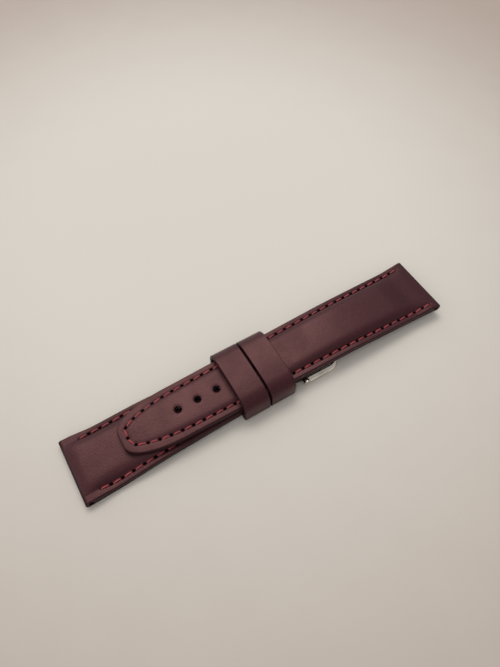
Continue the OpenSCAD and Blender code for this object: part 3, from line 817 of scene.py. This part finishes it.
thread, tree, shader, place = new_material("red thread")
lint = noise_node(tree, place, 2600.0, 3.0, 0.6)
shade = noise_node(tree, place, 160.0, 1.0, 0.5)
body_color = mix_colors(tree, range_node(tree, shade, 0.35, 0.65),
                        paint(132, 44, 51), paint(150, 54, 60))
tree.links.new(mix_colors(tree, range_node(tree, lint, 0.5, 0.75, 0.0, 0.5), body_color,
                          paint(96, 28, 36)), shader.inputs["Base Color"])
bump(tree, shader, lint, 0.5, 0.00006)
shader.inputs["Roughness"].default_value = 0.55
stitch.data.materials.append(thread)


def point_along(route, distance):
    """The place on a route at a distance from its start."""
    reach = np.concatenate([[0], np.cumsum(np.linalg.norm(np.diff(route, axis=0), axis=1))])
    return np.array([np.interp(distance, reach, route[:, k]) for k in (0, 1)])


def sew(name, route, top, lie, body, node):
    """Lays a copied stitch over each gap of the row, and its mate under the lining."""
    count, step = stitches_on(route)
    laid = []
    for k in range(count):
        p = point_along(route, k * step + ROW_END - STITCH_LEN / 2)
        q = point_along(route, k * step + ROW_END + STITCH_LEN / 2)
        middle = (p + q) / 2
        heading = math.atan2(q[1] - p[1], q[0] - p[0])
        for surface, flip in ((top, 1), (lie, -1)):
            z0, z1 = float(surface(p[0])), float(surface(q[0]))
            pitch_angle = -math.atan2(z1 - z0, float(np.hypot(*(q - p))))
            base = (z0 + z1) / 2 + (0.0 if flip > 0 else STITCH_SUNK)
            copy = stitch.copy()
            copy.data = stitch.data.copy()
            bpy.context.collection.objects.link(copy)
            turned = (Matrix.Translation((middle[0] * MM, middle[1] * MM, base * MM))
                      @ Matrix.Rotation(heading, 4, "Z") @ Matrix.Rotation(pitch_angle, 4, "Y"))
            if flip < 0:
                turned = turned @ Matrix.Rotation(math.pi, 4, "X")
            copy.data.transform(turned)
            laid.append(copy)
    only(*laid)
    bpy.ops.object.join()
    row = bpy.context.object
    row.name = name
    smooth(row, 60)
    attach(row, body)
    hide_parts(node)


sew("short_thread_near", SHORT_ROUTES[0], short_edge_top, short_lie,
    "short_strap", "short_stitching_near")
sew("short_thread_far", SHORT_ROUTES[1], short_edge_top, short_lie,
    "short_strap", "short_stitching_far")
sew("long_thread", LONG_ROUTE, long_edge_top, long_lie, "long_strap", "long_stitching")
bpy.data.objects.remove(stitch)

# Keepers
#
# Two plain loops of the same leather, lined with thin leather. The fixed one is caught in the short
# piece beside the buckle, and the free one slides. Their corners are rounded where they fold.

KEEPER_W, KEEPER_HALF = 9.0, 11.887
KEEPER_CORNER, KEEPER_BASE, KEEPER_ARCH = 5.0, 1.6, 86.0
KEEPER_SHOULDER, KEEPER_SPACE = 9.5, 0.7
KEEPER_T, KEEPER_LINING_T = 0.8, 0.45
KEEPER_SKEW, KEEPER_SHIFT = 0.012, 0.35
NO_STITCH = 50.0


def keeper_section(set_in):
    """Half of a keeper's outline from the middle of its base to the middle of its top: a rounded
    lower corner, an upright side, a rounded upper corner and a wide arch, all tangent."""
    def arc(y, z, radius, start, end, steps):
        turn = np.radians(np.linspace(start, end, steps))
        return np.column_stack([y + radius * np.cos(turn), z + radius * np.sin(turn)])

    corner_y, corner_z = KEEPER_HALF - KEEPER_CORNER, KEEPER_SHOULDER - KEEPER_CORNER
    meet = math.degrees(math.asin(corner_y / (KEEPER_ARCH - KEEPER_CORNER)))
    arch_z = corner_z - (KEEPER_ARCH - KEEPER_CORNER) * math.cos(math.radians(meet))
    floor = np.column_stack([np.linspace(0.5, KEEPER_HALF - KEEPER_BASE - 1, 6), np.full(6, set_in)])
    side = np.column_stack([np.full(3, KEEPER_HALF - set_in), np.linspace(2.2, corner_z - 0.5, 3)])
    return np.vstack([
        [[0.0, set_in]], floor,
        arc(KEEPER_HALF - KEEPER_BASE, KEEPER_BASE, KEEPER_BASE - set_in, -90, 0, 7), side,
        arc(corner_y, corner_z, KEEPER_CORNER - set_in, 0, 90 - meet, 9),
        arc(0, arch_z, KEEPER_ARCH - set_in, 90 - meet, 90, 12)[1:]])


keeper_leather = leather("keeper leather", paint(54, 25, 32), paint(47, 21, 28),
                         paint(43, 21, 26), 0.41, 0.5, 2000.0, 0.5)


def keeper_loop(name, x0, set_in, thick, material, body, node):
    """One leather of a keeper, set in from the outline, with its rims rounded."""
    x1 = x0 + KEEPER_W
    half_way = keeper_section(set_in)
    route = np.vstack([half_way, half_way[-2:0:-1] * [-1, 1]])
    bpy.ops.object.select_all(action="DESELECT")
    bpy.ops.mesh.primitive_circle_add(vertices=len(route), radius=1, fill_type="NOTHING")
    loop = bpy.context.object
    loop.name = name
    co = points_of(loop)
    order = np.rint(np.arctan2(co[:, 1], co[:, 0]) / (2 * np.pi) * len(route)).astype(int)
    ring = route[order % len(route)]
    set_points(loop, np.column_stack([np.full(len(ring), x0), ring]) * MM)
    stations = np.array([0.15, 0.35, 0.7, 1.5, 3.0, 4.5, 6.0, 7.5, 8.3, 8.65, 8.85, KEEPER_W])
    draw_out(loop, [(step * MM, 0, 0) for step in np.diff(stations, prepend=0.0)])
    face_out(loop)
    wall = loop.modifiers.new("wall", "SOLIDIFY")
    wall.thickness = thick * MM
    wall.offset = -1
    wall.use_even_offset = True
    bpy.ops.object.modifier_apply(modifier=wall.name)
    rim = loop.modifiers.new("rim", "BEVEL")
    rim.width = 0.14 * MM
    rim.segments = 3
    rim.limit_method = "ANGLE"
    rim.angle_limit = math.radians(60)
    bpy.ops.object.modifier_apply(modifier=rim.name)
    co = points_of(loop) / MM
    edge = np.minimum(np.abs(co[:, 0] - x0), np.abs(x1 - co[:, 0]))
    co[:, 0] += KEEPER_SKEW * co[:, 1] + KEEPER_SHIFT
    set_points(loop, co * MM)
    loop.data.attributes.new("edge", "FLOAT", "POINT").data.foreach_set(
        "value", edge.astype(np.float32))
    loop.data.attributes.new("row", "FLOAT_VECTOR", "POINT").data.foreach_set(
        "vector", np.full(len(co) * 3, NO_STITCH, np.float32))
    loop.data.materials.clear()
    loop.data.materials.append(material)
    smooth(loop, 40)
    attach(loop, body)
    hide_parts(node)


for keeper, x0, body in (("fixed_keeper", FIXED_END - KEEPER_W, "short_strap"),
                         ("free_keeper", FIXED_END - 2 * KEEPER_W - KEEPER_SPACE, "free_keeper")):
    keeper_loop(keeper + "_leather", x0, 0.0, KEEPER_T, keeper_leather,
                body, keeper + "_outer")
    keeper_loop(keeper + "_inside", x0, KEEPER_T + GLUE, KEEPER_LINING_T, lining_leather,
                body, keeper + "_lining")

# Spring bar
#
# The steel bar that the short piece is rolled round: a drawn tube with turned-in ends, a coil spring
# inside it, and a shouldered pin at each end that springs into the buckle's arms.

def metal(name, color, roughness, streaks, stretch):
    """Steel with fine lines, drawn out along Y where stretch is small there."""
    material, tree, shader, place = new_material(name)
    drawn = tree.nodes.new("ShaderNodeMapping")
    drawn.inputs["Scale"].default_value = stretch
    tree.links.new(place, drawn.inputs["Vector"])
    lines = noise_node(tree, drawn.outputs[0], 1200.0, 3.0, 0.6)
    smudge = noise_node(tree, place, 260.0, 2.0, 0.5)
    light = paint(*color)
    dark = paint(*[0.88 * v for v in color])
    tree.links.new(mix_colors(tree, range_node(tree, smudge, 0.35, 0.7), dark, light),
                   shader.inputs["Base Color"])
    tree.links.new(range_node(tree, lines, 0.3, 0.7, roughness - streaks, roughness + streaks),
                   shader.inputs["Roughness"])
    bump(tree, shader, lines, 0.12, 0.00002)
    shader.inputs["Metallic"].default_value = 1.0
    return material


bar_steel = metal("drawn steel", (196, 197, 200), 0.32, 0.08, (1.0, 0.06, 1.0))
spring_wire = metal("spring wire", (170, 171, 176), 0.4, 0.06, (1.0, 1.0, 1.0))
for node, material in (("bar_tube", bar_steel), ("bar_pin_near", bar_steel),
                       ("bar_pin_far", bar_steel), ("bar_spring", spring_wire)):
    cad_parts[node].material_slots[0].material = material

# Buckle
#
# A polished steel frame with a domed top, open towards the strap, whose two arms take the spring
# bar's pins, and a stamped tongue whose eye turns on the bar and whose point rests on the far bar.

FRAME_HALF, ARM_W, FAR_BAR_W, FRAME_T = 9.2, 1.95, 2.2, 1.9
OUTER_CORNER, INNER_CORNER = 4.4, 2.4
FRAME_DOME, DOME_TOP = 0.95, 0.3
ARM_END_R, PIN_HOLE_R, PIN_HOLE_DEEP = 1.2, 0.45, 0.75
FRAME_TILT = math.asin((PIVOT_Z - FRAME_T / 2 - 0.02) / FRAME_LEN)
AT_PIVOT = (Matrix.Translation((PIVOT_X * MM, 0, PIVOT_Z * MM))
            @ Matrix.Rotation(FRAME_TILT, 4, "Y"))
polished_steel = metal("polished steel", (242, 236, 224), 0.1, 0.03, (1.0, 1.0, 1.0))


def add_to(piece, others):
    """Joins other shapes to a piece as one solid, and removes them."""
    for other in others:
        joined = piece.modifiers.new("join", "BOOLEAN")
        joined.operation = "UNION"
        joined.solver = "EXACT"
        joined.object = other
        only(piece)
        bpy.ops.object.modifier_apply(modifier=joined.name)
        bpy.data.objects.remove(other)


def polish_edges(piece, width, segments, angle):
    """Rounds the edges sharper than an angle, after clearing the joins' spare points."""
    only(piece)
    bpy.ops.object.mode_set(mode="EDIT")
    bpy.ops.mesh.select_all(action="SELECT")
    bpy.ops.mesh.remove_doubles(threshold=0.000004)
    bpy.ops.mesh.dissolve_limited(angle_limit=math.radians(1))
    bpy.ops.object.mode_set(mode="OBJECT")
    softened = piece.modifiers.new("polish", "BEVEL")
    softened.width = width * MM
    softened.segments = segments
    softened.limit_method = "ANGLE"
    softened.angle_limit = math.radians(angle)
    bpy.ops.object.modifier_apply(modifier=softened.name)


# Inner and outer line of the frame, from the near pin round the far bar to the far pin
arm_x = np.linspace(0, FRAME_LEN - FAR_BAR_W - INNER_CORNER, 8)
turn = np.radians(np.linspace(-90, 0, 14))
quarter = np.column_stack([np.cos(turn), np.sin(turn)])
inner_turn = [FRAME_LEN - FAR_BAR_W - INNER_CORNER, INNER_CORNER - FRAME_HALF]
outer_turn = [FRAME_LEN - OUTER_CORNER, OUTER_CORNER - FRAME_HALF - ARM_W]
inner_line = np.vstack([np.column_stack([arm_x, np.full(8, -FRAME_HALF)]),
                        (inner_turn + INNER_CORNER * quarter)[1:],
                        [[FRAME_LEN - FAR_BAR_W, -3.4], [FRAME_LEN - FAR_BAR_W, 0]]])
outer_line = np.vstack([np.column_stack([arm_x, np.full(8, -FRAME_HALF - ARM_W)]),
                        (outer_turn + OUTER_CORNER * quarter)[1:],
                        [[FRAME_LEN, -3.4], [FRAME_LEN, 0]]])
inner_line, outer_line = (np.vstack([line, line[-2::-1] * [1, -1]])
                          for line in (inner_line, outer_line))
bpy.ops.object.select_all(action="DESELECT")
bpy.ops.mesh.primitive_circle_add(vertices=32, radius=1, fill_type="NGON")
buckle = bpy.context.object
buckle.name = "buckle_frame_steel"
draw_out(buckle, [(0, 0, 1)] * (len(inner_line) - 1))
co = points_of(buckle)
station = np.rint(co[:, 2]).astype(int)
share = 0.5 + 0.5 * np.sign(co[:, 0]) * np.abs(co[:, 0]) ** 0.5
height = np.sign(co[:, 1]) * np.abs(co[:, 1]) ** 0.5
fall = FRAME_DOME * ((share - DOME_TOP) / (1 - DOME_TOP)) ** 2 * (height + 1) / 2
flat = mix(inner_line[station], outer_line[station], share[:, None])
set_points(buckle, np.column_stack([flat, height * FRAME_T / 2 - fall]) * MM)
face_out(buckle)
add_to(buckle, [cross_punch(0, 0, ARM_END_R, ARM_W - 0.1, side * (FRAME_HALF + ARM_W / 2))
                for side in (-1, 1)])
punch(buckle, [cross_punch(0, 0, PIN_HOLE_R, 2 * PIN_HOLE_DEEP, side * (FRAME_HALF + PIN_HOLE_DEEP))
               for side in (-1, 1)])

TONGUE_REST, TONGUE_T, TONGUE_HALF = FRAME_T / 2 + 0.03, 0.75, 1.0
EYE_END, POINT_START, POINT_LEN = 3.4, 12.2, 1.8
tongue = block(1.0, FRAME_LEN - 0.3, -TONGUE_HALF, TONGUE_HALF,
               TONGUE_REST, TONGUE_REST + TONGUE_T)
tongue.name = "buckle_tongue_steel"
bpy.ops.object.transform_apply(location=True, rotation=True, scale=True)
for cut in (1.8, 2.6, EYE_END, POINT_START, POINT_START + POINT_LEN / 2):
    bpy.ops.object.mode_set(mode="EDIT")
    bpy.ops.mesh.select_all(action="SELECT")
    bpy.ops.mesh.bisect(plane_co=(cut * MM, 0, 0), plane_no=(1, 0, 0))
    bpy.ops.object.mode_set(mode="OBJECT")
co = points_of(tongue) / MM
top_side = co[:, 2] > TONGUE_REST + 0.4
near_eye = ease((EYE_END - co[:, 0]) / (EYE_END - 1.0))
point = np.clip((co[:, 0] - POINT_START) / POINT_LEN, 0, 1)
co[:, 2] -= np.where(top_side, 0.22 * near_eye + 0.3 * point ** 2, 0.55 * near_eye)
co[:, 1] *= 1 - 0.35 * point
set_points(tongue, co * MM)
add_to(tongue, [cross_punch(0, 0, 1.5, 2 * TONGUE_HALF)])
polish_edges(tongue, 0.16, 3, 40)
punch(tongue, [cross_punch(0, 0, BAR_BORE_R, 4.0)])

for piece, body, node in ((buckle, "buckle", "buckle_frame"), (tongue, "tongue", "buckle_tongue")):
    piece.data.transform(AT_PIVOT)
    piece.data.materials.clear()
    piece.data.materials.append(polished_steel)
    smooth(piece, 40)
    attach(piece, body)
    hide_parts(node)

# Table, light and camera
#
# Warm white paper under the strap, a wide soft lamp from the upper left of the picture, and the
# viewpoint of the photo, fitted to the stitches and corners.

# Painted light: the paper is painted darker away from this place, from 66 mm out to 246 mm, with an
# uneven border, as painted shade for the lamp's falloff
PAINTED_LIGHT_CENTRE = (0.019, 0.073, 0)
bpy.ops.object.select_all(action="DESELECT")
bpy.ops.mesh.primitive_plane_add(size=6, location=(0, 0, -0.00002))
table = bpy.context.object
table.name = "table"
paper, tree, shader, place = new_material("paper")
from_painted_light_centre = tree.nodes.new("ShaderNodeVectorMath")
from_painted_light_centre.operation = "DISTANCE"
from_painted_light_centre.inputs[1].default_value = PAINTED_LIGHT_CENTRE
tree.links.new(place, from_painted_light_centre.inputs[0])
tooth = noise_node(tree, place, 60.0, 3.0, 0.5)
reach = math_node(tree, "MULTIPLY_ADD", tooth, 0.012, from_painted_light_centre.outputs["Value"])
tree.links.new(mix_colors(tree, range_node(tree, reach, 0.066, 0.246), paint(214, 208, 199),
                          paint(175, 160, 150)), shader.inputs["Base Color"])
shader.inputs["Roughness"].default_value = 0.9
shader.inputs["Specular IOR Level"].default_value = 0.1
table.data.materials.append(paper)

world = bpy.data.worlds.new("room")
bpy.context.scene.world = world
world.use_nodes = True
tree = world.node_tree
facing = tree.nodes.new("ShaderNodeVectorMath")
facing.operation = "DOT_PRODUCT"
facing.inputs[1].default_value = (-0.852, 0.441, 0.281)
tree.links.new(tree.nodes.new("ShaderNodeTexCoord").outputs["Generated"], facing.inputs[0])
room_light = mix_colors(tree, range_node(tree, facing.outputs["Value"], -0.27, 0.28),
                        (0.345, 0.345, 0.345, 1), (0.88, 0.88, 0.88, 1))
seen = tree.nodes.new("ShaderNodeLightPath").outputs["Is Camera Ray"]
tree.links.new(mix_colors(tree, seen, room_light, paint(214, 206, 198)),
               tree.nodes["Background"].inputs["Color"])

lamp_data = bpy.data.lights.new("window", "AREA")
lamp_data.shape = "RECTANGLE"
lamp_data.size, lamp_data.size_y = 0.81, 0.45
lamp_data.energy = 5.37
lamp_data.color = (1.0, 0.985, 0.965)
lamp = bpy.data.objects.new("window", lamp_data)
bpy.context.collection.objects.link(lamp)
lamp.location = (0.156, 0.568, 1.0)
lamp.rotation_euler = (Vector((0, 0, 0)) - lamp.location).to_track_quat("-Z", "Y").to_euler()

camera_data = bpy.data.cameras.new("camera")
camera_data.sensor_fit = "AUTO"
camera_data.sensor_width = 36.0
camera_data.lens = 28.066
camera_data.clip_start = 0.01
camera = bpy.data.objects.new("camera", camera_data)
bpy.context.collection.objects.link(camera)
right = Vector((0.854181, -0.519641, 0.018643))
up = Vector((0.435578, 0.734661, 0.520140))
back = Vector((-0.283982, -0.436173, 0.853878))
camera.matrix_world = (Matrix.Translation((-0.047552, -0.063895, 0.155553))
                       @ Matrix((right, up, back)).transposed().to_4x4())
bpy.context.scene.camera = camera
bpy.context.scene.view_settings.view_transform = "Standard"
